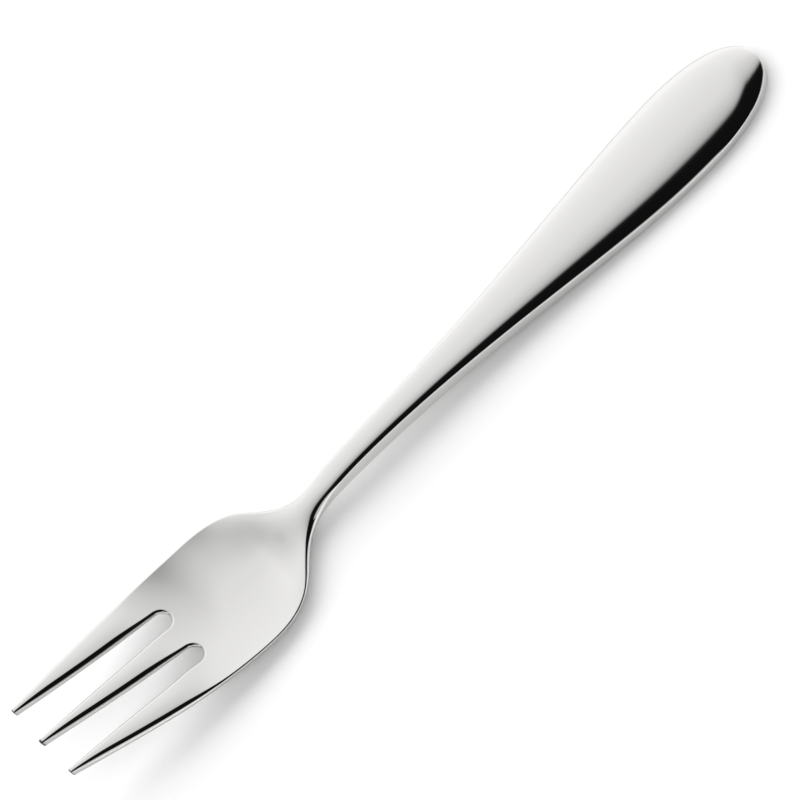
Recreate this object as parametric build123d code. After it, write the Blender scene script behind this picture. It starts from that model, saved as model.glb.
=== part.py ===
from build123d import *
import math
import os

# Pastry fork in one piece of polished steel: three tines, a shallow bowl, a slim neck
# and a drop-shaped handle with a domed top. A flat blank has the plan outline, pressing
# gives it the side view and the dished or domed sections, and the fork is then divided
# into its named zones, which meet face to face.
# X runs along the fork from the tine tips to the handle's end, Y across it, Z up.
# The origin is on the table, under the middle of the fork's length. Sizes are in mm.

# Lengths along the fork
TINE_LENGTH = 27.8  # middle tine's tip to the ends of the slots
PALM_LENGTH = 8.8  # slot ends to the bowl's widest section
SHOULDER_LENGTH = 22.9  # widest section to the narrowest section of the neck
SHAFT_LENGTH = 78.6  # narrowest section to the handle's widest section
END_LENGTH = 16.9  # handle's widest section to its end
TIP_SETBACK = 0.2  # outer tines' tips behind the middle tine's tip

# Lengths of the zones between the tines and the handle
BOWL_ZONE = 31.0
NECK_ZONE = 22.0

# Widths across the fork
TIP_SPREAD = 7.42  # middle tine's tip to an outer tine's tip
TIP_WIDTH = 0.9
SLOT_WIDTH = 3.32  # at the round end of a slot
SLOT_OFFSET = 4.16  # fork's middle to the centre of that round end
BOWL_WIDTH = 24.1
NECK_WIDTH = 4.14
HANDLE_WIDTH = 16.24

# Heights above the table, in the side view
TIP_HEIGHT = 12.65  # upper edge at the tine tips
BOWL_HEIGHT = 2.7  # upper edge at its lowest, beside the bowl
NECK_HEIGHT = 5.4  # upper edge at the neck's crest
HANDLE_EDGE = 1.95  # wall round the handle

# Heights of the walls at the other edges
TINE_THICKNESS = 1.3
BOWL_THICKNESS = 0.95
NECK_THICKNESS = 2.55

# Where the side view's edge lines level out
DISH_LEAD = 3.2  # start of the dish before the slot ends
LOW_PAST_WIDEST = 7.4  # bowl's lowest section past its widest one
CREST_PAST_NECK = 8.0  # crest of the upper edge past the neck's narrowest section
UNDER_PAST_NECK = 2.5  # crest of the lower edge past the neck's narrowest section
REST_LENGTH = 22.0  # flat under the handle, up to its end

# Sections
DISH_DEPTH = 1.3  # bowl's floor below its edges
DOME_ANGLE = 36.0  # slope of the handle's and neck's top at their edges, in degrees
DOME_FULLNESS = 0.6  # how much fuller than a parabola that top is, 0 for a parabola
NECK_BELLY = 0.25  # rounding of the neck's underside
LAND_DEPTH = 0.05  # polished flats that the fork rests on
UPPER_ROUND = 0.35  # radius of the upper edges
LOWER_ROUND = 0.2  # radius of the lower edges
TIP_ROUND = 0.3  # corner radius of a tine's tip, in plan
TIP_FLAT = 0.25  # straight edge that a tine's tip keeps between its corners

# Slopes of the tines, as a rise over a run
TIP_LIFT = -0.252  # side view, at the tips
TIP_FLARE = 0.195  # plan, an outer tine's outside at its tip
OUTER_FLARE = -0.1  # plan, an outer tine's inside at its tip
OUTER_CLOSE = -0.012  # plan, an outer tine's inside at the slot's end
MIDDLE_FLARE = 0.125  # plan, the middle tine's side at its tip
MIDDLE_CLOSE = 0.045  # plan, the middle tine's side at the slot's end

# Shares of a curve's run that its two tangents take, which set how full it is
TINE_EASE = (0.38, 0.33)
SHOULDER_EASE = (0.62, 0.55)
SHAFT_EASE = (0.48, 0.25)
END_EASE = 0.62
HEAD_EASE = (0.32, 0.37)
NECK_EASE = (0.55, 0.55)
HANDLE_EASE = (0.24, 0.28)
UNDER_EASE = (0.15, 0.10)
DISH_EASE = (0.5, 0.5)

# How finely the pressed surfaces are laid out, and how far they run past the outline
ROW_STEP = 2.0
COLUMNS = 12
OVERRUN = 1.5
OVERHANG = 1.12
SURFACE_TOLERANCE = 0.005
SAME_PLACE = 0.001  # two points that are this near are one

# A face counts as part of the top or the underside if its normal leans no further than this
SKIN_LEAN = 60.0

# Stations from the tine tips that follow from the lengths
BOWL_STATION = TINE_LENGTH + PALM_LENGTH
NECK_STATION = BOWL_STATION + SHOULDER_LENGTH
HANDLE_STATION = NECK_STATION + SHAFT_LENGTH
FORK_LENGTH = HANDLE_STATION + END_LENGTH
DISH_START = TINE_LENGTH - DISH_LEAD
BOWL_LOW = BOWL_STATION + LOW_PAST_WIDEST
NECK_CREST = NECK_STATION + CREST_PAST_NECK
UNDER_CREST = NECK_STATION + UNDER_PAST_NECK
HANDLE_REST = FORK_LENGTH - REST_LENGTH
TINE_ROOT = TINE_LENGTH - SLOT_WIDTH / 2
BOWL_END = TINE_ROOT + BOWL_ZONE
NECK_END = BOWL_END + NECK_ZONE

# A height that clears the whole fork
CLEAR = 2 * TIP_HEIGHT


class Line2D:
    """A smooth line of values along the fork, as a chain of cubic curves."""

    def __init__(self, *spans):
        self.spans = spans

    def at(self, station):
        """The value at a station, held level past both ends."""
        if station <= self.spans[0][0][0]:
            return self.spans[0][0][1]
        for span in self.spans:
            if station <= span[3][0]:
                return cubic(span, share_at(span, station))[1]
        return self.spans[-1][3][1]


def cubic(span, share):
    """The point of a cubic curve at a share from 0 to 1."""
    rest = 1 - share
    weights = (rest**3, 3 * rest**2 * share, 3 * rest * share**2, share**3)
    return tuple(sum(w * point[axis] for w, point in zip(weights, span)) for axis in (0, 1))


def share_at(span, station):
    """The share at which a cubic curve reaches a station, by halving."""
    low, high = 0.0, 1.0
    for _ in range(50):
        middle = (low + high) / 2
        if cubic(span, middle)[0] < station:
            low = middle
        else:
            high = middle
    return (low + high) / 2


def ease(start, end, shares, slope=0.0):
    """A cubic curve that leaves at a slope and arrives level."""
    run = end[0] - start[0]
    leave = (start[0] + shares[0] * run, start[1] + slope * shares[0] * run)
    arrive = (end[0] - shares[1] * run, end[1])
    return (start, leave, arrive, end)


def bow(start, end, leave, arrive):
    """A cubic curve with given slopes at both ends."""
    third = (end[0] - start[0]) / 3
    near = (start[0] + third, start[1] + leave * third)
    far = (end[0] - third, end[1] - arrive * third)
    return (start, near, far, end)


# Plan: half of the width, from the tine tips to the handle's widest section
outer_tip = (TIP_SETBACK, TIP_SPREAD + TIP_WIDTH / 2)
bowl_side = (BOWL_STATION, BOWL_WIDTH / 2)
neck_side = (NECK_STATION, NECK_WIDTH / 2)
handle_side = (HANDLE_STATION, HANDLE_WIDTH / 2)
half_width = Line2D(
    ease(outer_tip, bowl_side, TINE_EASE, TIP_FLARE),
    ease(bowl_side, neck_side, SHOULDER_EASE),
    ease(neck_side, handle_side, SHAFT_EASE),
)
end_curve = (
    handle_side,
    (HANDLE_STATION + END_EASE * END_LENGTH, HANDLE_WIDTH / 2),
    (FORK_LENGTH, END_EASE * HANDLE_WIDTH / 2),
    (FORK_LENGTH, 0),
)

# Side view: the upper and the lower edge
bowl_upper = (BOWL_LOW, BOWL_HEIGHT)
neck_upper = (NECK_CREST, NECK_HEIGHT)
bowl_lower = (BOWL_LOW, BOWL_HEIGHT - BOWL_THICKNESS)
neck_lower = (UNDER_CREST, NECK_HEIGHT - NECK_THICKNESS)
upper_edge = Line2D(
    ease((0, TIP_HEIGHT), bowl_upper, HEAD_EASE, TIP_LIFT),
    ease(bowl_upper, neck_upper, NECK_EASE),
    ease(neck_upper, (HANDLE_REST, HANDLE_EDGE), HANDLE_EASE),
)
lower_edge = Line2D(
    ease((0, TIP_HEIGHT - TINE_THICKNESS), bowl_lower, HEAD_EASE, TIP_LIFT),
    ease(bowl_lower, neck_lower, NECK_EASE),
    ease(neck_lower, (HANDLE_REST, 0), UNDER_EASE),
)

# Sections: the middle of the top above its edges, and of the underside below them
DOME_RISE = math.tan(math.radians(DOME_ANGLE)) / (2 * (1 + DOME_FULLNESS))
neck_dome = (NECK_STATION, DOME_RISE * NECK_WIDTH / 2)
bowl_floor = (BOWL_LOW, -DISH_DEPTH)
bowl_belly = (BOWL_LOW, bowl_lower[1])
neck_belly = (NECK_CREST, NECK_BELLY)
dish = Line2D(
    ease((DISH_START, 0), bowl_floor, DISH_EASE),
    ease(bowl_floor, (NECK_STATION, 0), DISH_EASE),
)
first_dome = Line2D(ease((BOWL_LOW, 0), neck_dome, DISH_EASE))
belly = Line2D(
    ease((DISH_START, 0), bowl_belly, DISH_EASE),
    ease(bowl_belly, neck_belly, DISH_EASE),
    ease(neck_belly, (HANDLE_REST, 0), DISH_EASE),
)


def end_reach(past, beside):
    """How far the handle's end reaches in a direction, where an ellipse would reach 1."""
    low, high = 0.0, 1.0
    for _ in range(50):
        middle = (low + high) / 2
        station, across = cubic(end_curve, middle)
        along, aside = (station - HANDLE_STATION) / END_LENGTH, 2 * across / HANDLE_WIDTH
        if along * beside < aside * past:
            low = middle
        else:
            high = middle
    return math.hypot(along, aside)


def edge_share(station, across):
    """How near a point of the plan is to the edge: 0 on the middle line, 1 on the edge."""
    past = max(0.0, station - HANDLE_STATION) / END_LENGTH
    beside = abs(across) / half_width.at(station)
    return (past**2 + beside**2) / end_reach(past, beside) ** 2


def top_height(station, across):
    """Height of the top: flat on the tines, dished in the bowl, domed along the handle."""
    share = edge_share(station, across)
    if station < NECK_STATION:
        dome = first_dome.at(station)
    else:
        dome = DOME_RISE * half_width.at(station)
    rise = dish.at(station) + dome * (1 + DOME_FULLNESS * share)
    return upper_edge.at(station) + rise * (1 - share)


def under_height(station, across):
    """Height of the underside, before the flats that it rests on are polished."""
    drop = belly.at(station) * (1 - edge_share(station, across))
    return lower_edge.at(station) - drop - LAND_DEPTH


def place(station):
    """The X of a station."""
    return station - FORK_LENGTH / 2


def solid_below(height):
    """The solid below a pressed surface, which runs past the outline on every side."""
    length = FORK_LENGTH + 2 * OVERRUN
    count = round(length / ROW_STEP)
    rows = []
    for row in range(count + 1):
        station = length * row / count - OVERRUN
        reach = half_width.at(station) * OVERHANG
        spread = [reach * (2 * column / COLUMNS - 1) for column in range(COLUMNS + 1)]
        rows.append([(place(station), y, height(station, y)) for y in spread])
    surface = Face.make_surface_from_array_of_points(rows, SURFACE_TOLERANCE, min_deg=3, max_deg=6)
    return extrude(surface, 2 * CLEAR, dir=(0, 0, -1))


def blank_face():
    """The blank's outline, with a round-ended slot on each side of the middle tine."""
    radius = SLOT_WIDTH / 2
    middle_corner = (0, TIP_WIDTH / 2)
    outer_corner = (TIP_SETBACK, TIP_SPREAD - TIP_WIDTH / 2)
    start_turn, finish_turn = math.atan(MIDDLE_CLOSE), math.atan(-OUTER_CLOSE)
    slot_start = (TINE_ROOT + radius * math.sin(start_turn), SLOT_OFFSET - radius * math.cos(start_turn))
    slot_finish = (TINE_ROOT + radius * math.sin(finish_turn), SLOT_OFFSET + radius * math.cos(finish_turn))
    side = [
        Line((0, 0), middle_corner),
        Bezier(*bow(middle_corner, slot_start, MIDDLE_FLARE, MIDDLE_CLOSE)),
        ThreePointArc(slot_start, (TINE_LENGTH, SLOT_OFFSET), slot_finish),
        Bezier(*bow(outer_corner, slot_finish, OUTER_FLARE, OUTER_CLOSE)),
        Line(outer_corner, outer_tip),
        *(Bezier(*span) for span in half_width.spans),
        Bezier(*end_curve),
    ]
    face = Face(Wire(side + [edge.mirror(Plane.XZ) for edge in side]))
    sharp = (middle_corner, outer_corner, outer_tip)
    corners = [v for v in face.vertices() if any(math.dist((v.X, abs(v.Y)), p) < SAME_PLACE for p in sharp)]
    rounded = face.fillet_2d(min(TIP_ROUND, (TIP_WIDTH - TIP_FLAT) / 2), corners)
    return Pos(place(0), 0, -CLEAR / 2) * rounded


def pressed_fork():
    """The whole fork: the blank between its two pressed surfaces, with its flats."""
    blank = extrude(blank_face(), 2 * CLEAR, dir=(0, 0, 1))
    table = Pos(0, 0, -CLEAR) * Box(2 * FORK_LENGTH, 2 * BOWL_WIDTH, 2 * CLEAR)
    pressed = (blank & solid_below(top_height)) - solid_below(under_height) - table
    upright = math.cos(math.radians(SKIN_LEAN))
    top = pressed.faces().filter_by(lambda face: face.normal_at().Z > upright)
    rounded = pressed.solid().fillet(UPPER_ROUND, outline(top))
    under = rounded.faces().filter_by(lambda face: face.normal_at().Z < -upright)
    return rounded.fillet(LOWER_ROUND, outline(under))


def outline(faces):
    """The edges that only one of the faces has."""
    edges = [edge for face in faces for edge in face.edges()]
    return [edge for edge in edges if edges.count(edge) == 1]


def zone(fork, start, end):
    """The solids of the fork between two stations, in order across it."""
    slab = Box(end - start, 2 * BOWL_WIDTH, 2 * CLEAR)
    cut = fork & Pos(place((start + end) / 2), 0, 0) * slab
    return cut.solids().sort_by(Axis.Y)


fork = pressed_fork()
left_tine, middle_tine, right_tine = zone(fork, -OVERRUN, TINE_ROOT)
zones = {
    "left_tine": left_tine,
    "middle_tine": middle_tine,
    "right_tine": right_tine,
    "bowl": zone(fork, TINE_ROOT, BOWL_END)[0],
    "neck": zone(fork, BOWL_END, NECK_END)[0],
    "handle": zone(fork, NECK_END, FORK_LENGTH + OVERRUN)[0],
}

os.makedirs("parts", exist_ok=True)
for name, solid in zones.items():
    export_step(solid, f"parts/{name}.step")
    print(name, solid.is_valid, round(solid.volume, 2), "mm3")
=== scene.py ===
"""The looks of a pastry fork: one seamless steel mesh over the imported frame, its studio and its camera.

Stations are millimetres along the fork from the tine tips, and the other sizes of the
fork are in millimetres too. The mesh is scaled to metres when it is made.
"""

import logging
import math
from dataclasses import dataclass
from enum import Enum
from typing import Any, Callable, Sequence, Union

import bpy
import numpy as np
from mathutils import Matrix, Vector
from mathutils.geometry import delaunay_2d_cdt


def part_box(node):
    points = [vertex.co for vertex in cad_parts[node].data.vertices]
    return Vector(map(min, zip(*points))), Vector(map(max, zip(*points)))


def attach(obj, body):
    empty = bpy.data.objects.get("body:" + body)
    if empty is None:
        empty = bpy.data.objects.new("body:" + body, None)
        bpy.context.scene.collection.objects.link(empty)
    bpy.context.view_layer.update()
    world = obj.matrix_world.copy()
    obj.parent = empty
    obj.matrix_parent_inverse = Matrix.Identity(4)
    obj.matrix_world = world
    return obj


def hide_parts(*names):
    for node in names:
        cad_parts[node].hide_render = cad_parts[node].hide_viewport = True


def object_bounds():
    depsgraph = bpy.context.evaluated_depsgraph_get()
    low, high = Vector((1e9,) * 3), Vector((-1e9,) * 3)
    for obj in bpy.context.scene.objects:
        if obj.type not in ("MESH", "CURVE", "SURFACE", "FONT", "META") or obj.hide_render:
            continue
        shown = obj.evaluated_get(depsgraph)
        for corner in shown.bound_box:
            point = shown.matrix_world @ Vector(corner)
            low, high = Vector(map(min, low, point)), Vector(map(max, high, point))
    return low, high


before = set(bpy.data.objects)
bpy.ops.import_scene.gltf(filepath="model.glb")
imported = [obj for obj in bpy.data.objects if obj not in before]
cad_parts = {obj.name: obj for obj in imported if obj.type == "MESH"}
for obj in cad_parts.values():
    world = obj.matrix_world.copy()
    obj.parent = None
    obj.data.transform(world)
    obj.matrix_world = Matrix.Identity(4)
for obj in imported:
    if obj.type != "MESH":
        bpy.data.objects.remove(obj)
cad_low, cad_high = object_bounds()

MM = 0.001
HALVINGS = 48
SLOPE_STEP = 0.0005
INSIDE_FACES = 1
MERGE_DISTANCE = 1e-6
MIX_SHARE, MIX_FIRST, MIX_SECOND, MIX_COLOUR = 0, 6, 7, 2
Point = tuple[float, float]
Span = tuple[Point, Point, Point, Point]
Stops = tuple[Point, ...]
Colour = tuple[float, float, float]
Value = Union["Socket", float, Sequence[float]]
logger = logging.getLogger("pastry_fork")


class Skin(Enum):
    """The two pressed skins of the fork, with the direction that each one faces."""

    TOP = 1.0
    UNDER = -1.0


class Change(Enum):
    """How a shader value passes from one limit to the other."""

    EVEN = "LINEAR"
    SOFT = "SMOOTHSTEP"


class Line:
    """A smooth line of values along the fork, as a chain of cubic curves."""

    def __init__(self, *spans: Span) -> None:
        """Keeps the spans as arrays of four points each."""
        self.spans = [np.array(span, dtype=float) for span in spans]

    def at(self, station: np.ndarray) -> np.ndarray:
        """Values at stations, held level past both ends.

        Args:
            station: stations along the fork.

        Returns:
            One value for each station.
        """
        value = np.full_like(station, self.spans[-1][3, 1])
        for span in reversed(self.spans):
            inside = station <= span[3, 0]
            value[inside] = cubic(span, share_at(span, station[inside]))[:, 1]
        value[station <= self.spans[0][0, 0]] = self.spans[0][0, 1]
        return value


def cubic(span: np.ndarray, share: np.ndarray) -> np.ndarray:
    """Points of a cubic curve.

    Args:
        span: the curve's four points.
        share: shares of the curve from 0 to 1.

    Returns:
        One row of two coordinates for each share.
    """
    rest = 1 - share
    weights = np.stack([rest**3, 3 * rest**2 * share, 3 * rest * share**2, share**3], axis=1)
    return weights @ span


def cubic_slope(span: np.ndarray, share: np.ndarray) -> np.ndarray:
    """Unit tangents of a cubic curve.

    Args:
        span: the curve's four points.
        share: shares of the curve from 0 to 1.

    Returns:
        One unit vector for each share.
    """
    rest = 1 - share
    weights = np.stack([rest**2, 2 * rest * share, share**2], axis=1)
    along = weights @ np.diff(span, axis=0)
    return along / np.linalg.norm(along, axis=1, keepdims=True)


def share_at(span: np.ndarray, station: np.ndarray) -> np.ndarray:
    """Shares at which a cubic curve reaches stations, by halving.

    Args:
        span: the curve's four points.
        station: stations along the fork.

    Returns:
        One share from 0 to 1 for each station.
    """
    low = np.zeros_like(station)
    high = np.ones_like(station)
    for _ in range(HALVINGS):
        middle = (low + high) / 2
        short = cubic(span, middle)[:, 0] < station
        low = np.where(short, middle, low)
        high = np.where(short, high, middle)
    return (low + high) / 2


def ease(start: Point, end: Point, shares: Point, slope: float = 0.0) -> Span:
    """A cubic curve that leaves at a slope and arrives level.

    Args:
        start: first point, as station and value.
        end: last point.
        shares: shares of the run that the two tangents take.
        slope: slope at the start, as a rise over a run.

    Returns:
        The curve's four points.
    """
    run = end[0] - start[0]
    leave = (start[0] + shares[0] * run, start[1] + slope * shares[0] * run)
    arrive = (end[0] - shares[1] * run, end[1])
    return (start, leave, arrive, end)


def smooth(value: np.ndarray, low: float, high: float) -> np.ndarray:
    """A smooth step.

    Args:
        value: numbers to compare with the two limits.
        low: where the step starts, at 0.
        high: where the step ends, at 1.

    Returns:
        Numbers from 0 to 1, level and without a kink at both limits.
    """
    share = np.clip((value - low) / (high - low), 0, 1)
    return share**3 * (share * (6 * share - 15) + 10)


def through(station: np.ndarray, mark: float, stretch: Point) -> np.ndarray:
    """How far stations are through a stretch of the fork.

    Args:
        station: stations along the fork.
        mark: the station that the stretch is given from.
        stretch: where it starts and ends, before or after the mark.

    Returns:
        Numbers from 0 to 1, without a kink at both ends of the stretch.
    """
    return smooth(station, mark + stretch[0], mark + stretch[1])


def unit(run: Point) -> Point:
    """The unit vector along a run in plan."""
    length = math.hypot(*run)
    return (run[0] / length, run[1] / length)


def bow(start: Point, end: Point, leave: float, arrive: float) -> Span:
    """A cubic curve with given slopes at both ends.

    Args:
        start: first point, as station and value.
        end: last point.
        leave: slope at the start.
        arrive: slope at the end.

    Returns:
        The curve's four points.
    """
    third = (end[0] - start[0]) / 3
    near = (start[0] + third, start[1] + leave * third)
    far = (end[0] - third, end[1] - arrive * third)
    return (start, near, far, end)


@dataclass
class Outline:
    """The fork's edge in plan, as a closed chain of points with their inward directions."""

    points: np.ndarray
    inward: np.ndarray
    upper_round: np.ndarray
    lower_round: np.ndarray
    reach: np.ndarray


@dataclass
class Fork:
    """The whole fork in one piece: tines, bowl, neck and handle."""

    # Sizes that the frame gives
    length: float
    bowl_width: float
    handle_width: float

    # Lengths along the fork
    tine_length: float = 27.8
    palm_length: float = 8.8
    tip_setback: float = 0.2
    shoulder_length: float = 22.9
    end_length: float = 16.9

    # Widths across the fork
    tip_spread: float = 7.42
    tip_width: float = 0.9
    slot_width: float = 3.32
    slot_offset: float = 4.16
    neck_width: float = 4.14

    # Heights above the table, and of the walls
    tip_height: float = 12.5
    bowl_height: float = 2.7
    neck_height: float = 5.4
    handle_edge: float = 1.95
    tine_thickness: float = 1.3
    bowl_thickness: float = 0.95
    neck_thickness: float = 2.55

    # Where the side view's edge lines level out
    low_past_widest: float = 7.4
    crest_past_neck: float = 8.0
    under_past_neck: float = 2.5
    rest_length: float = 22.0

    # Dish of the bowl
    dish_depth: float = 1.3
    dish_lead: float = 6.0
    dish_low_lead: float = 1.5
    dish_end_lead: float = 3.5
    rim_roll: float = 0.8

    # Sections
    dome_share: float = 0.27
    end_swell: float = 0.1
    tine_share: float = 0.07
    brim: float = 0.03
    neck_belly: float = 0.25
    land_depth: float = 0.05

    # Radii of the edges, and the wall that they leave
    tip_corner: float = 0.3
    tip_round: float = 0.27
    tip_taper: float = 8.0
    tine_round: float = 0.9
    slot_round: float = 0.6
    bowl_round: float = 0.34
    shoulder_round: float = 1.0
    neck_round: float = 0.06
    tip_under: float = 0.15
    under_round: float = 0.3
    least_wall: float = 0.05

    # Stretches given from the ends of the slots
    crown_fades: Point = (-11.12, -1.0)
    slot_rounds: Point = (-9.73, -1.0)
    bowl_rounds: Point = (-11.12, 3.0)

    # Stretches given from the lowest place of the bowl's edge
    rim_grows: Point = (-5.0, 2.0)
    rim_fades: Point = (2.0, 6.0)
    dome_grows: Point = (-2.0, 14.5)
    even_grows: Point = (4.0, 7.0)
    shoulder_rounds: Point = (0.0, 9.0)

    # Stretches given from the neck's narrowest and the handle's widest place
    even_fades: Point = (-5.0, 2.0)
    neck_rounds: Point = (-5.0, 3.0)
    swell_grows: Point = (3.0, 14.9)

    # Shares of their runs for which the curves keep their end tangents
    tip_ease: Point = (0.38, 0.33)
    shoulder_ease: Point = (0.62, 0.55)
    handle_ease: Point = (0.48, 0.25)
    end_ease: float = 0.62
    head_ease: Point = (0.32, 0.37)
    arch_ease: Point = (0.55, 0.55)
    back_ease: Point = (0.24, 0.28)
    under_ease: Point = (0.15, 0.10)
    dish_ease: Point = (0.2, 0.75)
    even_ease: Point = (0.5, 0.5)

    # Slopes at the tine tips
    tip_flare: float = 0.195
    tip_lift: float = -0.252
    middle_flare: float = 0.125
    middle_close: float = 0.045
    outer_flare: float = 0.1
    outer_close: float = 0.012

    # Spacing of the mesh's points along the edge and over the skins
    edge_step: float = 0.5
    grid_along: float = 0.9
    grid_across: float = 0.45
    grid_clear: float = 0.3
    edge_reach: float = 2.0
    least_inset: float = 0.01
    ring_shares: tuple[float, ...] = (1.0, 0.75, 0.5, 0.3, 0.16, 0.06)
    inner_clear: float = 1.2
    outer_clear: float = 1.4
    slot_points: int = 33
    corner_points: int = 9
    round_steps: int = 8
    wall_steps: int = 3

    @classmethod
    def from_frame(cls) -> "Fork":
        """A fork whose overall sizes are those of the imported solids.

        Returns:
            The fork, with its length and its two widths from the frame.
        """
        tine_low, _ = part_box("middle_tine")
        handle_low, handle_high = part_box("handle")
        bowl_low, bowl_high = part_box("bowl")
        return cls(
            length=(handle_high.x - tine_low.x) / MM,
            bowl_width=(bowl_high.y - bowl_low.y) / MM,
            handle_width=(handle_high.y - handle_low.y) / MM,
        )

    def __post_init__(self) -> None:
        """Works out the stations and draws the fork's lines in plan, side view and section."""
        self.bowl_station = self.tine_length + self.palm_length
        self.neck_station = self.bowl_station + self.shoulder_length
        self.handle_station = self.length - self.end_length
        self.dish_start = self.tine_length - self.dish_lead
        self.bowl_low = self.bowl_station + self.low_past_widest
        self.neck_crest = self.neck_station + self.crest_past_neck
        self.rest_start = self.length - self.rest_length
        self.draw_plan()
        self.draw_side()
        self.draw_sections()

    def draw_plan(self) -> None:
        """Draws half of the width along the fork, and the slots' straight edges."""
        tip = (self.tip_setback, self.tip_spread + self.tip_width / 2)
        bowl = (self.bowl_station, self.bowl_width / 2)
        neck = (self.neck_station, self.neck_width / 2)
        handle = (self.handle_station, self.handle_width / 2)
        leave = (handle[0] + self.end_ease * self.end_length, handle[1])
        arrive = (self.length, self.end_ease * handle[1])
        self.half_width = Line(
            ease(tip, bowl, self.tip_ease, self.tip_flare),
            ease(bowl, neck, self.shoulder_ease),
            ease(neck, handle, self.handle_ease),
        )
        self.end_curve = np.array((handle, leave, arrive, (self.length, 0.0)))
        radius = self.slot_width / 2
        centre = (self.tine_length - radius, self.slot_offset)
        turn, back_turn = math.atan(self.middle_close), math.atan(self.outer_close)
        root = (centre[0] + radius * math.sin(turn), centre[1] - radius * math.cos(turn))
        far_root = (centre[0] + radius * math.sin(back_turn), centre[1] + radius * math.cos(back_turn))
        corner = (0.0, self.tip_width / 2)
        far_corner = (self.tip_setback, self.tip_spread - self.tip_width / 2)
        self.slot_centre = centre
        self.middle_edge = Line(bow(corner, root, self.middle_flare, self.middle_close))
        self.outer_edge = Line(bow(far_corner, far_root, -self.outer_flare, -self.outer_close))

    def draw_side(self) -> None:
        """Draws the upper and the lower edge in the side view."""
        bowl = (self.bowl_low, self.bowl_height)
        neck = (self.neck_crest, self.neck_height)
        head, arch = self.head_ease, self.arch_ease
        self.upper_edge = Line(
            ease((0.0, self.tip_height), bowl, head, self.tip_lift),
            ease(bowl, neck, arch),
            ease(neck, (self.rest_start, self.handle_edge), self.back_ease),
        )
        bowl_under = (self.bowl_low, self.bowl_height - self.bowl_thickness)
        under_crest = self.neck_station + self.under_past_neck
        neck_under = (under_crest, self.neck_height - self.neck_thickness)
        self.lower_edge = Line(
            ease((0.0, self.tip_height - self.tine_thickness), bowl_under, head, self.tip_lift),
            ease(bowl_under, neck_under, arch),
            ease(neck_under, (self.rest_start, 0.0), self.under_ease),
        )

    def draw_sections(self) -> None:
        """Draws how far the middle of the top and of the underside stand off from their edges."""
        even = self.even_ease
        floor = (self.bowl_low - self.dish_low_lead, -self.dish_depth)
        belly = (self.bowl_low, self.bowl_height - self.bowl_thickness)
        neck_belly = (self.neck_crest, self.neck_belly)
        self.dish = Line(
            ease((self.dish_start, 0.0), floor, self.dish_ease),
            ease(floor, (self.neck_station - self.dish_end_lead, 0.0), even),
        )
        self.belly = Line(
            ease((self.dish_start, 0.0), belly, even),
            ease(belly, neck_belly, even),
            ease(neck_belly, (self.rest_start, 0.0), even),
        )

    def edge_share(self, plan: np.ndarray) -> np.ndarray:
        """How near points of the plan are to the edge: 0 on the middle line, 1 on the edge.

        Args:
            plan: rows of station and offset across the fork.

        Returns:
            One number for each row.
        """
        past = np.maximum(0, plan[:, 0] - self.handle_station) / self.end_length
        across = np.abs(plan[:, 1]) / self.half_width.at(plan[:, 0])
        curve = (self.end_curve - [self.handle_station, 0]) / [self.end_length, self.handle_width / 2]
        low, high = np.zeros_like(past), np.ones_like(past)
        for _ in range(HALVINGS):
            middle = (low + high) / 2
            found = cubic(curve, middle)
            short = found[:, 0] * across < found[:, 1] * past
            low, high = np.where(short, middle, low), np.where(short, high, middle)
        reach = cubic(curve, low)
        return (across**2 + past**2) / (reach**2).sum(axis=1)

    def dome(self, station: np.ndarray, share: np.ndarray) -> np.ndarray:
        """Height of the dome: steep at its edges and flatter inside, but even beside the bowl.

        Args:
            station: stations along the fork.
            share: squared shares of the way from the middle to the edge.

        Returns:
            Heights over the edges, as parts of the section's full swell.
        """
        pillow = np.sqrt(np.maximum(0, 1 + self.brim - share)) - math.sqrt(self.brim)
        crest = math.sqrt(1 + self.brim) - math.sqrt(self.brim)
        even = through(station, self.bowl_low, self.even_grows)
        even = even - through(station, self.neck_station, self.even_fades)
        return pillow + even * (crest * (1 - share) - pillow)

    def tine_rise(self, plan: np.ndarray) -> np.ndarray:
        """Crown of each tine above its edges, fading out where the tines join the bowl.

        Args:
            plan: rows of station and offset across the fork.

        Returns:
            One height for each row.
        """
        station, across = plan[:, 0], np.abs(plan[:, 1])
        inner, outer = self.tine_halves(station)
        parting = (self.slot_offset + inner + self.slot_width / 2) / 2
        in_middle = across < parting
        centre = np.where(in_middle, 0.0, self.half_width.at(station) - outer)
        half = np.where(in_middle, inner, outer)
        fade = 1 - through(station, self.tine_length, self.crown_fades)
        return fade * self.tine_share * half * (1 - ((across - centre) / half) ** 2)

    def tine_halves(self, station: np.ndarray) -> tuple[np.ndarray, np.ndarray]:
        """Half widths of the middle tine and of an outer tine.

        Args:
            station: stations along the fork.

        Returns:
            The two half widths at each station.
        """
        inner = self.middle_edge.at(station)
        outer = self.half_width.at(station) - self.outer_edge.at(station)
        return inner, outer / 2

    def top_height(self, plan: np.ndarray) -> np.ndarray:
        """Height of the top skin: crowned tines, dished bowl, domed neck and handle.

        Args:
            plan: rows of station and offset across the fork.

        Returns:
            One height for each row.
        """
        station = plan[:, 0]
        share = self.edge_share(plan)
        roll = through(station, self.bowl_low, self.rim_grows)
        roll = roll - through(station, self.bowl_low, self.rim_fades)
        hollow = self.dish.at(station) * (1 - share) * (1 - self.rim_roll * roll * share)
        full = 1 + self.end_swell * through(station, self.handle_station, self.swell_grows)
        swell = full * through(station, self.bowl_low, self.dome_grows)
        swell = swell * self.dome_share * self.half_width.at(station)
        level = self.upper_edge.at(station) + hollow
        return level + swell * self.dome(station, share) + self.tine_rise(plan)

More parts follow.
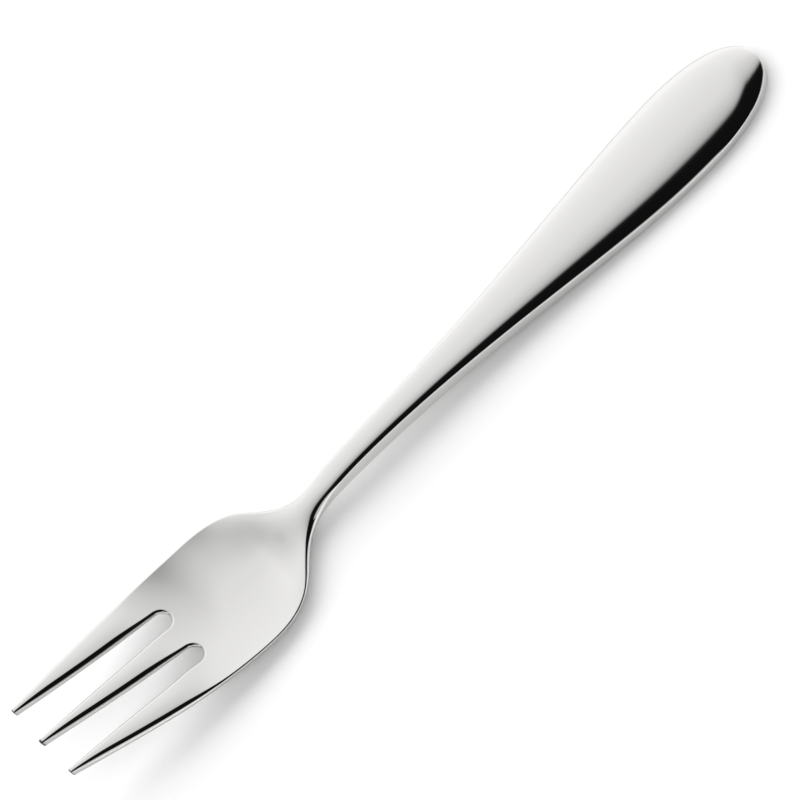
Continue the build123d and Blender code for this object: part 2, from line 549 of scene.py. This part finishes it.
    def under_height(self, plan: np.ndarray) -> np.ndarray:
        """Height of the underside, with the polished flats that the fork rests on.

        Args:
            plan: rows of station and offset across the fork.

        Returns:
            One height for each row.
        """
        station = plan[:, 0]
        drop = self.belly.at(station) * (1 - self.edge_share(plan))
        return np.maximum(0, self.lower_edge.at(station) - drop - self.land_depth)

    def height(self, skin: Skin) -> Callable[[np.ndarray], np.ndarray]:
        """The height function of a skin."""
        return self.top_height if skin is Skin.TOP else self.under_height

    def outer_round(self, station: np.ndarray) -> np.ndarray:
        """Radius of the upper edge round the outside of the fork, where its wall has room for it.

        Args:
            station: stations along the fork.

        Returns:
            One radius for each station.
        """
        edge = self.tine_edge(station)
        for radius, mark, stretch in (
            (self.bowl_round, self.tine_length, self.bowl_rounds),
            (self.shoulder_round, self.bowl_low, self.shoulder_rounds),
            (self.neck_round, self.neck_station, self.neck_rounds),
        ):
            edge = edge + (radius - edge) * through(station, mark, stretch)
        wall = self.upper_edge.at(station) - self.lower_edge.at(station) + self.land_depth
        return np.minimum(edge, wall - self.under_round - self.least_wall)

    def inner_round(self, station: np.ndarray) -> np.ndarray:
        """Radius of the upper edge along the slots.

        Args:
            station: stations along the fork.

        Returns:
            One radius for each station.
        """
        tine = self.tine_edge(station)
        growth = through(station, self.tine_length, self.slot_rounds)
        return tine + (self.slot_round - tine) * growth

    def tine_edge(self, station: np.ndarray) -> np.ndarray:
        """Radius of the upper edge along a tine, which grows from the tip.

        Args:
            station: stations along the fork.

        Returns:
            One radius for each station.
        """
        short = np.clip(1 - station / self.tip_taper, 0, 1)
        return self.tine_round + (self.tip_round - self.tine_round) * short**2

    def outer_reach(self, station: np.ndarray) -> np.ndarray:
        """How wide the section is beside the outside edge, for the spacing of its rings.

        Args:
            station: stations along the fork.

        Returns:
            One half width for each station.
        """
        _, tine = self.tine_halves(station)
        head = np.where(station < self.tine_length, np.minimum(tine, self.edge_reach), self.edge_reach)
        return np.where(station < self.neck_station, head, self.half_width.at(station))

    def outline(self) -> Outline:
        """The fork's closed edge in plan, worked out for one side and mirrored.

        Returns:
            The edge's points with their inward directions and radii.
        """
        pieces = [*self.middle_tip(), *self.slot(), *self.outer_tip(), *self.side()]
        points = np.concatenate([piece[0] for piece in pieces])
        along = np.concatenate([piece[1] for piece in pieces])
        upper = np.concatenate([piece[2] for piece in pieces])
        reach = np.concatenate([piece[3] for piece in pieces])
        inward = np.stack([along[:, 1], -along[:, 0]], axis=1)
        flip = np.array([1.0, -1.0])
        back = slice(-2, 0, -1)
        upper = np.concatenate([upper, upper[back]])
        growth = smooth(points[:, 0], self.tip_setback, self.tine_length / 2)
        lower = self.tip_under + (self.under_round - self.tip_under) * growth
        return Outline(
            points=np.concatenate([points, points[back] * flip]),
            inward=np.concatenate([inward, inward[back] * flip]),
            upper_round=upper,
            lower_round=np.concatenate([lower, lower[back]]),
            reach=np.concatenate([reach, reach[back]]),
        )

    def middle_tip(self) -> list[tuple[np.ndarray, ...]]:
        """Half of the middle tine's tip, from the fork's middle line."""
        start = np.array([[0.0, 0.0]])
        ahead = np.array([[0.0, 1.0]])
        first = (start, ahead, np.array([self.tip_round]), np.array([self.tip_width / 2]))
        leave = unit((1.0, self.middle_flare))
        return [first, self.corner((0.0, 1.0), (0.0, self.tip_width / 2), leave)]

    def slot(self) -> list[tuple[np.ndarray, ...]]:
        """A slot: the middle tine's side, the round end and the outer tine's inner side."""
        centre = np.array(self.slot_centre)
        first = self.middle_edge.spans[0][3] - centre
        last = self.outer_edge.spans[0][3] - centre
        angle = np.linspace(math.atan2(first[1], first[0]), math.atan2(last[1], last[0]), self.slot_points)
        ring = np.stack([np.cos(angle), np.sin(angle)], axis=1)
        turn = np.stack([-ring[:, 1], ring[:, 0]], axis=1)
        end = centre + ring * self.slot_width / 2
        out = self.tine_side(self.middle_edge.spans[0])
        back = [rows[::-1] for rows in self.tine_side(self.outer_edge.spans[0])]
        back[1] = -back[1]
        inner, _ = self.tine_halves(out[0][:, 0])
        _, outer = self.tine_halves(back[0][:, 0])
        return [
            (*out, self.inner_round(out[0][:, 0]), np.minimum(inner, self.edge_reach)),
            (end, turn, self.inner_round(end[:, 0]), np.full(len(end), self.edge_reach)),
            (*back, self.inner_round(back[0][:, 0]), np.minimum(outer, self.edge_reach)),
        ]

    def tine_side(self, span: np.ndarray) -> tuple[np.ndarray, np.ndarray]:
        """Points along a tine's side, from clear of the tip's corner to short of the slot's end.

        Args:
            span: the side's curve.

        Returns:
            The points and their tangents.
        """
        clear = np.array([span[0, 0] + self.tip_corner * self.inner_clear])
        start = float(share_at(span, clear)[0])
        share = np.linspace(start, 1, round(self.tine_length / self.edge_step))[:-1]
        return cubic(span, share), cubic_slope(span, share)

    def outer_tip(self) -> list[tuple[np.ndarray, ...]]:
        """An outer tine's tip, with its two rounded corners."""
        corner = (self.tip_setback, self.tip_spread - self.tip_width / 2)
        edge = (self.tip_setback, self.tip_spread + self.tip_width / 2)
        return [
            self.corner(unit((-1.0, self.outer_flare)), corner, (0.0, 1.0)),
            self.corner((0.0, 1.0), edge, unit((1.0, self.tip_flare))),
        ]

    def corner(self, arrive: Point, corner: Point, leave: Point) -> tuple[np.ndarray, ...]:
        """A rounded corner of a tine's tip.

        Args:
            arrive: unit direction of the edge before the corner.
            corner: the sharp corner.
            leave: unit direction of the edge after the corner.

        Returns:
            Points, tangents, upper radii and half widths round the corner.
        """
        before, after, sharp = np.array(arrive), np.array(leave), np.array(corner)
        turn = math.acos(float(np.clip(before @ after, -1, 1)))
        reach = self.tip_corner * math.tan(turn / 2)
        side = np.array([before[1], -before[0]])
        centre = sharp - before * reach + side * self.tip_corner
        angle = np.linspace(0, turn, self.corner_points)[:, None]
        along = before * np.cos(angle) + side * np.sin(angle)
        outward = np.stack([-along[:, 1], along[:, 0]], axis=1)
        points = centre + outward * self.tip_corner
        even = np.ones(len(points))
        return points, along, even * self.tip_round, even * self.tip_width / 2

    def side(self) -> list[tuple[np.ndarray, ...]]:
        """The outside edge, from the outer tine's tip to the end of the handle."""
        found = []
        clear = self.tip_setback + self.tip_corner * self.outer_clear
        start = float(share_at(self.half_width.spans[0], np.array([clear]))[0])
        for span in (*self.half_width.spans, self.end_curve):
            count = int(np.linalg.norm(span[3] - span[0]) / self.edge_step)
            last = 1.0 if span is self.end_curve else 1 - 1 / count
            share = np.linspace(start, last, count)
            points = cubic(span, share)
            station = points[:, 0]
            along = cubic_slope(span, share)
            found.append((points, along, self.outer_round(station), self.outer_reach(station)))
            start = 0.0
        return found

    def slope(self, skin: Skin, plan: np.ndarray) -> np.ndarray:
        """Slopes of a skin along and across the fork.

        Args:
            skin: which skin.
            plan: rows of station and offset across the fork.

        Returns:
            One row of two slopes for each point.
        """
        height = self.height(skin)
        slopes = []
        for axis in np.eye(2) * SLOPE_STEP:
            slopes.append((height(plan + axis) - height(plan - axis)) / (2 * SLOPE_STEP))
        return np.stack(slopes, axis=1)

    def rounded_edge(self, skin: Skin, edge: Outline) -> list[tuple[np.ndarray, np.ndarray]]:
        """Rings of points over a skin's rounded edge, from the skin to the wall.

        Args:
            skin: which skin.
            edge: the fork's edge in plan.

        Returns:
            Positions and normals, one pair for each ring.
        """
        radius = edge.upper_round if skin is Skin.TOP else edge.lower_round
        rings = []
        for share in self.ring_shares:
            inset = radius + share * np.maximum(edge.reach / 2 - radius, self.least_inset)
            plan = edge.points + edge.inward * inset[:, None]
            slope = self.slope(skin, plan) * skin.value
            upright = np.full((len(plan), 1), skin.value)
            rings.append((np.column_stack([plan, self.height(skin)(plan)]), np.hstack([-slope, upright])))
        for angle in np.linspace(math.pi / 2, 0, self.round_steps + 1):
            plan = edge.points + edge.inward * (radius * (1 - math.cos(angle)))[:, None]
            drop = radius * (1 - math.sin(angle)) * skin.value
            height = self.height(skin)(plan) - drop
            slope = self.slope(skin, plan) * math.sin(angle) * skin.value
            flat = -(slope + edge.inward * math.cos(angle))
            upright = np.full((len(plan), 1), math.sin(angle) * skin.value)
            rings.append((np.column_stack([plan, height]), np.hstack([flat, upright])))
        return rings

    def inside_points(self, loop: np.ndarray) -> np.ndarray:
        """A grid of points inside a closed loop, clear of the loop itself.

        Args:
            loop: the loop's points in plan.

        Returns:
            Rows of station and offset across the fork.
        """
        half = self.bowl_width / 2
        rows = np.arange(self.grid_along, self.length, self.grid_along)
        columns = np.arange(self.grid_across / 2, half, self.grid_across)
        columns = np.concatenate([-columns[::-1], columns])
        grid = np.stack(np.meshgrid(rows, columns), axis=-1).reshape(-1, 2)
        start, run = loop, np.roll(loop, -1, axis=0) - loop
        kept = []
        for point in grid:
            away = point - start
            share = np.clip(np.einsum("ij,ij->i", away, run) / np.einsum("ij,ij->i", run, run), 0, 1)
            gap = np.linalg.norm(away - share[:, None] * run, axis=1).min()
            crosses = (start[:, 1] > point[1]) != (start[:, 1] + run[:, 1] > point[1])
            ahead = start[:, 0] + run[:, 0] * away[:, 1] / np.where(crosses, run[:, 1], 1) > point[0]
            if gap > self.grid_clear and np.count_nonzero(crosses & ahead) % 2:
                kept.append(point)
        return np.array(kept)

    def cap(self, skin: Skin, loop: np.ndarray) -> tuple[np.ndarray, np.ndarray, list[list[int]]]:
        """The part of a skin inside its rounded edge.

        Args:
            skin: which skin.
            loop: the innermost ring of the rounded edge, in plan.

        Returns:
            Positions and normals of the points inside, and triangles that count the
            ring's points first and those after them.
        """
        inside = self.inside_points(loop)
        plan = [Vector(point) for point in np.concatenate([loop, inside])]
        ring = list(range(len(loop)))
        filled = delaunay_2d_cdt(plan, [], [ring], INSIDE_FACES, MERGE_DISTANCE)
        _, _, found, origins, _, _ = filled
        source = [first[0] for first in origins]
        triangles = []
        for face in found:
            first, second, third = (plan[source[corner]] for corner in face)
            turn = (second - first).cross(third - first) * skin.value
            order = face if turn > 0 else reversed(face)
            triangles.append([source[corner] for corner in order])
        slope = self.slope(skin, inside)
        normals = np.hstack([-slope * skin.value, np.full((len(inside), 1), skin.value)])
        return np.column_stack([inside, self.height(skin)(inside)]), normals, triangles

    def build(self) -> bpy.types.Object:
        """Makes the fork's mesh: two skins, their rounded edges and the wall between them.

        Returns:
            The fork as one closed mesh object.
        """
        edge = self.outline()
        top = self.rounded_edge(Skin.TOP, edge)
        under = self.rounded_edge(Skin.UNDER, edge)[::-1]
        wall = []
        for step in range(1, self.wall_steps):
            share = step / self.wall_steps
            wall.append((top[-1][0] * (1 - share) + under[0][0] * share, top[-1][1]))
        rings = [*top, *wall, *under]
        count = len(edge.points)
        faces = []
        for ring in range(len(rings) - 1):
            for place in range(count):
                after = (place + 1) % count
                here, below = ring * count, (ring + 1) * count
                faces.append((here + place, here + after, below + after, below + place))
        positions = [ring[0] for ring in rings]
        normals = [ring[1] for ring in rings]
        start = len(rings) * count
        for skin, ring in ((Skin.TOP, 0), (Skin.UNDER, len(rings) - 1)):
            points, facing, triangles = self.cap(skin, rings[ring][0][:, :2])
            shift = start - count
            offset = ring * count
            for face in triangles:
                faces.append(tuple(i + offset if i < count else i + shift for i in face))
            positions.append(points)
            normals.append(facing)
            start += len(points)
        return self.mesh_object(np.concatenate(positions), np.concatenate(normals), faces)

    def mesh_object(
        self, positions: np.ndarray, normals: np.ndarray, faces: list[tuple[int, ...]]
    ) -> bpy.types.Object:
        """Turns points and faces into a smooth mesh object in the frame's metres.

        Args:
            positions: rows of station, offset and height.
            normals: one normal for each point, of any length.
            faces: point numbers of each face.

        Returns:
            The new object.
        """
        centre = (cad_low + cad_high) / 2
        shift = np.array([centre.x / MM - self.length / 2, centre.y / MM, cad_low.z / MM])
        mesh = bpy.data.meshes.new("fork")
        mesh.from_pydata(((positions + shift) * MM).tolist(), [], faces)
        mesh.polygons.foreach_set("use_smooth", np.ones(len(mesh.polygons), dtype=bool))
        facing = normals / np.linalg.norm(normals, axis=1, keepdims=True)
        mesh.normals_split_custom_set_from_vertices(facing.tolist())
        mesh.update()
        fork = bpy.data.objects.new("fork", mesh)
        bpy.context.scene.collection.objects.link(fork)
        return fork

    def dress(self, fork: bpy.types.Object, finish: "PolishedSteel") -> None:
        """Gives the fork its finish, sets it on its body and hides the solids it stands for.

        Args:
            fork: the fork's mesh object.
            finish: the steel's finish.
        """
        fork.data.materials.append(finish.material())
        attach(fork, "root")
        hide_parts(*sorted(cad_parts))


class Socket:
    """A shader node's output, on which Python operators add Math nodes."""

    def __init__(self, tree: "Shader", output: bpy.types.NodeSocket) -> None:
        """Keeps the tree that new nodes go into, and the output."""
        self.tree = tree
        self.output = output

    def math(self, operation: str, first: Value, second: Value) -> "Socket":
        """Adds one Math node.

        Args:
            operation: the node's operation.
            first: first value or link.
            second: second value or link.

        Returns:
            The node's output.
        """
        return self.tree.node("ShaderNodeMath", {"operation": operation}, {0: first, 1: second})

    def __add__(self, other: Value) -> "Socket":
        """This value plus another."""
        return self.math("ADD", self, other)

    __radd__ = __add__

    def __sub__(self, other: Value) -> "Socket":
        """This value less another."""
        return self.math("SUBTRACT", self, other)

    def __rsub__(self, other: Value) -> "Socket":
        """Another value less this one."""
        return self.math("SUBTRACT", other, self)

    def __mul__(self, other: Value) -> "Socket":
        """This value times another."""
        return self.math("MULTIPLY", self, other)

    __rmul__ = __mul__

    def __truediv__(self, other: Value) -> "Socket":
        """This value over another."""
        return self.math("DIVIDE", self, other)

    def __rtruediv__(self, other: Value) -> "Socket":
        """Another value over this one."""
        return self.math("DIVIDE", other, self)


class Shader:
    """A node tree that is being built."""

    def __init__(self, tree: bpy.types.NodeTree) -> None:
        """Empties the tree."""
        self.tree = tree
        tree.nodes.clear()

    def node(
        self,
        kind: str,
        settings: dict[str, Any] | None = None,
        inputs: dict[str | int, Value] | None = None,
        output: str | int = 0,
    ) -> Socket:
        """Adds a node.

        Args:
            kind: the node's type.
            settings: the node's own settings, set first; "stops" is a ramp's list of
                positions and colours.
            inputs: values or links of its sockets, by name or number.
            output: which output to return.

        Returns:
            That output, or an empty one on a node without outputs.
        """
        made = self.tree.nodes.new(kind)
        for name, setting in (settings or {}).items():
            if name == "stops":
                self.set_stops(made.color_ramp, setting)
            else:
                setattr(made, name, setting)
        for name, value in (inputs or {}).items():
            if isinstance(value, Socket):
                self.tree.links.new(value.output, made.inputs[name])
            else:
                made.inputs[name].default_value = value
        return Socket(self, made.outputs[output] if made.outputs else None)

    def step(
        self, value: Value, limits: Point, ends: Point = (0.0, 1.0), change: Change = Change.EVEN
    ) -> Socket:
        """Maps a value from between two limits to between two ends.

        Args:
            value: the value or link to map.
            limits: where the change starts and ends.
            ends: the results there.
            change: how the result passes from one end to the other.

        Returns:
            The mapped value.
        """
        limit_values = {"From Min": limits[0], "From Max": limits[1]}
        end_values = {"To Min": ends[0], "To Max": ends[1]}
        settings = {"interpolation_type": change.value}
        return self.node("ShaderNodeMapRange", settings, {"Value": value, **limit_values, **end_values})

    def blend(self, share: Value, first: Value, second: Value) -> Socket:
        """Mixes two colours, by the share of the second."""
        inputs = {MIX_SHARE: share, MIX_FIRST: first, MIX_SECOND: second}
        return self.node("ShaderNodeMix", {"data_type": "RGBA"}, inputs, MIX_COLOUR)

    def noise(self, place: Value, scale: float, detail: float) -> Socket:
        """Adds cloudy noise, from 0 to 1."""
        return self.node("ShaderNodeTexNoise", {}, {"Vector": place, "Scale": scale, "Detail": detail})

    def ramp(self, value: Value, stops: Stops) -> Socket:
        """Reads grey values off a ramp."""
        return self.node("ShaderNodeValToRGB", {"stops": stops}, {"Fac": value})

    def glow(self, colour: Value, power: float) -> Socket:
        """Adds a background light."""
        return self.node("ShaderNodeBackground", {}, {"Color": colour, "Strength": power})

    def set_stops(self, ramp: bpy.types.ColorRamp, stops: Stops) -> None:
        """Gives a colour ramp its stops.

        Args:
            ramp: the ramp to change.
            stops: positions and grey values.
        """
        while len(ramp.elements) < len(stops):
            ramp.elements.new(1.0)
        for element, (place, grey) in zip(ramp.elements, stops):
            element.position = place
            element.color = (grey, grey, grey, 1.0)


@dataclass(frozen=True)
class PolishedSteel:
    """Mirror-polished steel with faint polishing lines and haze, matt walls and tip ends darkened as
    painted shade.

    The walls round the tines and the bowl are ground matt, and their colour is darkened as painted shade.
    Places along the fork are in the frame's metres.
    """

    colour: Colour = (0.735, 0.73, 0.72)
    roughness: float = 0.035
    haze: float = 0.03
    cloud_scale: float = 90.0
    cloud_detail: float = 4.0

    # Polishing lines along the fork
    line_scale: Sequence[float] = (60.0, 5000.0, 5000.0)
    line_detail: float = 3.0
    line_depth: float = 1.5e-7

    # Walls ground matt and darkened as painted shade: how far they may face up or down, and where they end
    wall_shade_colour: Colour = (0.47, 0.467, 0.46)
    edge_haze: float = 0.3
    wall_tilt: Point = (0.2, 0.5)
    ground_shade_end: Point = (-0.0255, -0.0175)

    # Tip ends darkened as painted shade
    tip_shade_colour: Colour = (0.12, 0.12, 0.118)
    tip_shade_end: Point = (-0.0772, -0.077)

    def material(self) -> bpy.types.Material:
        """Builds the steel's nodes.

        Returns:
            The new material.
        """
        steel = bpy.data.materials.new("polished_steel")
        steel.use_nodes = True
        shader = Shader(steel.node_tree)
        falling = (1.0, 0.0)
        place = shader.node("ShaderNodeTexCoord", output="Object")
        facing = shader.node("ShaderNodeTexCoord", output="Normal")
        station = shader.node("ShaderNodeSeparateXYZ", {}, {"Vector": place}, "X")
        upright = shader.node("ShaderNodeSeparateXYZ", {}, {"Vector": facing}, "Z")
        along = shader.node(
            "ShaderNodeMapping", {"vector_type": "POINT"}, {"Vector": place, "Scale": self.line_scale}
        )
        lines = shader.noise(along, 1.0, self.line_detail)
        cloud = shader.noise(place, self.cloud_scale, self.cloud_detail)
        wall = shader.step(upright.math("ABSOLUTE", upright, 0.0), self.wall_tilt, falling)
        # Walls round the tines and the bowl: rougher, and their colour darkened as painted shade
        ground_and_shade = wall * shader.step(station, self.ground_shade_end, falling)
        # Tip ends of the tines: colour darkened as painted shade
        tip_shade = shader.step(station, self.tip_shade_end, falling)
        colour = shader.blend(ground_and_shade, (*self.colour, 1.0), (*self.wall_shade_colour, 1.0))
        colour = shader.blend(tip_shade, colour, (*self.tip_shade_colour, 1.0))
        rough = self.roughness + self.haze * (cloud * lines) + self.edge_haze * ground_and_shade
        bump = shader.node(
            "ShaderNodeBump", {}, {"Strength": 1.0, "Distance": self.line_depth, "Height": lines}
        )
        body = shader.node(
            "ShaderNodeBsdfPrincipled",
            {},
            {"Base Color": colour, "Metallic": 1.0, "Roughness": rough, "Normal": bump},
        )
        shader.node("ShaderNodeOutputMaterial", {}, {"Surface": body})
        return steel


@dataclass(frozen=True)
class PaleFloor:
    """The matt white surface that the fork lies on."""

    colour: Colour = (0.86, 0.86, 0.86)
    roughness: float = 0.3

    def material(self) -> bpy.types.Material:
        """Builds the floor's nodes.

        Returns:
            The new material.
        """
        floor = bpy.data.materials.new("pale_floor")
        floor.use_nodes = True
        shader = Shader(floor.node_tree)
        matt = shader.node(
            "ShaderNodeBsdfDiffuse", {}, {"Color": (*self.colour, 1.0), "Roughness": self.roughness}
        )
        shader.node("ShaderNodeOutputMaterial", {}, {"Surface": matt})
        return floor


@dataclass
class Studio:
    """The stage: a pale floor in a white tent, with a dark opening over the near side.

    The tent is drawn by directions, with x along the fork, y away from the camera and a turn from
    the far horizon, at 0, over the top, at 0.5, to the near horizon, at 1.
    """

    floor_size: float = 8.0
    tent_power: float = 1.37
    floor_power: float = 9.8

    # Light that falls on the floor, by turn
    floor_light: Stops = (
        (0.0, 1.0), (0.1, 1.0), (0.16, 0.32), (0.25, 0.32), (0.4, 0.22), (0.45, 0.06),
        (0.55, 0.06), (0.6, 0.1), (0.75, 0.1), (0.82, 0.04), (1.0, 0.04),
    )

    # Tent wall, by turn, and its dark far end beyond the tines, by x and y
    fall_off: Stops = (
        (0.0, 0.95), (0.11, 0.93), (0.17, 0.855), (0.28, 0.768),
        (0.33, 0.723), (0.39, 0.69), (0.5, 0.62), (1.0, 0.5),
    )
    side_fall: Stops = (
        (0.05, 0.02), (0.1, 0.04), (0.15, 0.12), (0.175, 0.35),
        (0.2, 0.6), (0.235, 0.8), (0.3, 0.93), (0.35, 1.0),
    )
    side_reach: Point = (0.1, 0.3)

    # Far edge of the opening, by y, which bends away towards the handle, by x
    card_edge: Stops = (
        (0.39, 0.008), (0.46, 0.02), (0.5, 0.2), (0.53, 0.42), (0.56, 0.56), (0.6, 0.68),
        (0.67, 0.8), (0.7, 0.84), (0.76, 0.89), (0.82, 0.95), (0.9, 1.0),
    )
    card_middle: float = 0.5
    card_bend: Point = (0.04, 0.21)
    bend_reach: Point = (0.16, 0.36)

    # Ends of the opening, by x, which close in where it sinks, and its near edge, by turn
    opening_middle: float = 0.12
    opening_ends: Point = (0.7, 0.86)
    sink_turn: float = 0.6
    near_edge: Point = (0.79, 0.9)
    near_drop: float = 0.11
    drop_reach: Point = (0.05, 0.2)

    def build(self) -> None:
        """Makes the floor and the tent."""
        self.floor()
        self.tent()
        bpy.context.scene.view_settings.view_transform = "Standard"

    def floor(self) -> None:
        """Makes the floor at the height that the fork stands on."""
        half = self.floor_size / 2
        plan = ((-half, -half), (half, -half), (half, half), (-half, half))
        corners = [(*corner, cad_low.z) for corner in plan]
        mesh = bpy.data.meshes.new("floor")
        mesh.from_pydata(corners, [], [(0, 1, 2, 3)])
        mesh.materials.append(PaleFloor().material())
        floor = bpy.data.objects.new("floor", mesh)
        bpy.context.scene.collection.objects.link(floor)

    def tent(self) -> None:
        """Makes the white tent all round, with its dark opening over the near side."""
        world = bpy.data.worlds.new("tent")
        world.use_nodes = True
        bpy.context.scene.world = world
        shader = Shader(world.node_tree)
        look = shader.node("ShaderNodeTexCoord", output="Generated")
        x, y, z = (shader.node("ShaderNodeSeparateXYZ", {}, {"Vector": look}, axis) for axis in "XYZ")
        turn = z.math("ARCTAN2", z, y) / math.pi
        bend = shader.step(x, self.bend_reach, self.card_bend, Change.SOFT)
        edge = shader.ramp(y - bend + self.card_middle, self.card_edge)
        aside = x.math("ABSOLUTE", x - self.opening_middle, 0.0)
        sinking = turn.math("MAXIMUM", turn - self.sink_turn, 0.0)
        flank = shader.step(aside + sinking, self.opening_ends, change=Change.SOFT)
        drop = self.near_drop * shader.step(x, self.drop_reach, change=Change.SOFT)
        low = shader.step(turn - drop, self.near_edge, change=Change.SOFT)
        opening = (1 - edge) * (1 - flank) * (1 - low)
        side = shader.ramp((x + 1) / 2, self.side_fall)
        beyond = (1 - side) * shader.step(y, self.side_reach)
        tone = shader.ramp(turn, self.fall_off) * (1 - opening) * (1 - beyond)
        glow = shader.glow(tone, self.tent_power)
        soft = shader.glow(shader.ramp(turn, self.floor_light), self.floor_power)
        white = shader.glow((1.0, 1.0, 1.0, 1.0), 1.0)
        matt = shader.node("ShaderNodeLightPath", output="Is Diffuse Ray")
        seen = shader.node("ShaderNodeLightPath", output="Is Camera Ray")
        lit = shader.node("ShaderNodeMixShader", {}, {0: matt, 1: glow, 2: soft})
        both = shader.node("ShaderNodeMixShader", {}, {0: seen, 1: lit, 2: white})
        shader.node("ShaderNodeOutputWorld", {}, {"Surface": both})


@dataclass
class PhotoCamera:
    """A long lens above the near side, rolled so that the fork lies across the picture."""

    elevation: float = 59.84
    roll: float = 45.89
    distance: float = 1.25
    pixels_per_metre: float = 6394.0
    picture: float = 800.0
    far_limit: float = 50.0
    aim: tuple[float, float, float] = (-0.000267, 0.000914, 0.004531)

    def build(self) -> None:
        """Makes the scene's camera."""
        tilt, roll = math.radians(self.elevation), math.radians(self.roll)
        ahead = Vector((0, math.cos(tilt), -math.sin(tilt)))
        right = Vector((1, 0, 0))
        above = right.cross(ahead)
        across = right * math.cos(roll) - above * math.sin(roll)
        upward = right * math.sin(roll) + above * math.cos(roll)
        data = bpy.data.cameras.new("camera")
        data.lens = data.sensor_width * self.pixels_per_metre * self.distance / self.picture
        data.clip_end = self.far_limit
        camera = bpy.data.objects.new("camera", data)
        bpy.context.scene.collection.objects.link(camera)
        turned = Matrix((across, upward, -ahead)).transposed().to_4x4()
        camera.matrix_world = Matrix.Translation(Vector(self.aim) - ahead * self.distance) @ turned
        bpy.context.scene.camera = camera


def main() -> None:
    """Builds the fork, the studio and the camera in order, and reports each piece."""
    logging.basicConfig(level=logging.INFO, format="%(name)s: %(message)s")
    fork = Fork.from_frame()
    piece = fork.build()
    fork.dress(piece, PolishedSteel())
    logger.info("%s: %d points, %d faces", piece.name, len(piece.data.vertices), len(piece.data.polygons))
    Studio().build()
    logger.info("studio: floor and tent")
    PhotoCamera().build()
    logger.info("camera in place")


if __name__ == "__main__":
    main()
